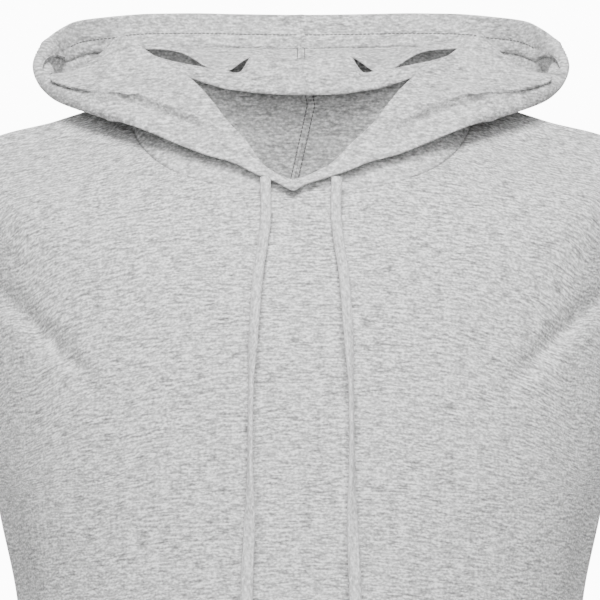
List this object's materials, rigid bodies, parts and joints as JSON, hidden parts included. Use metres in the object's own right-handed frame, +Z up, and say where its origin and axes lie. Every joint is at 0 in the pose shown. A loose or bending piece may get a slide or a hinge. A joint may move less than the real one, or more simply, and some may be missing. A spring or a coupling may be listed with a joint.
{
  "type": "hooded t-shirt",
  "caption": "Short-sleeved jersey t-shirt with a two-panel hood folded back and two free drawstrings, filled out as worn and hollow.",
  "frame": {"origin": "midway between the two points where the neck seam crosses the shoulders, which is where the wearer's shoulders carry the garment", "axes": "+Z up along the body, -Y out of the chest, +X to the wearer's left"},
  "size_m": [0.6714, 0.3239, 0.796],
  "materials": {
    "heather_jersey": "soft matte light grey heather single jersey",
    "drawstring_tape": "soft matte light grey heather jersey folded into tape"
  },
  "bodies": {
    "root": {"front": "heather_jersey", "back": "heather_jersey", "sleeve_left": "heather_jersey", "sleeve_right": "heather_jersey", "hood_left": "heather_jersey", "hood_right": "heather_jersey", "drawstring_left": "drawstring_tape", "drawstring_right": "drawstring_tape", "drawstring_knot_left": "drawstring_tape", "drawstring_knot_right": "drawstring_tape"}
  },
  "joints": []
}
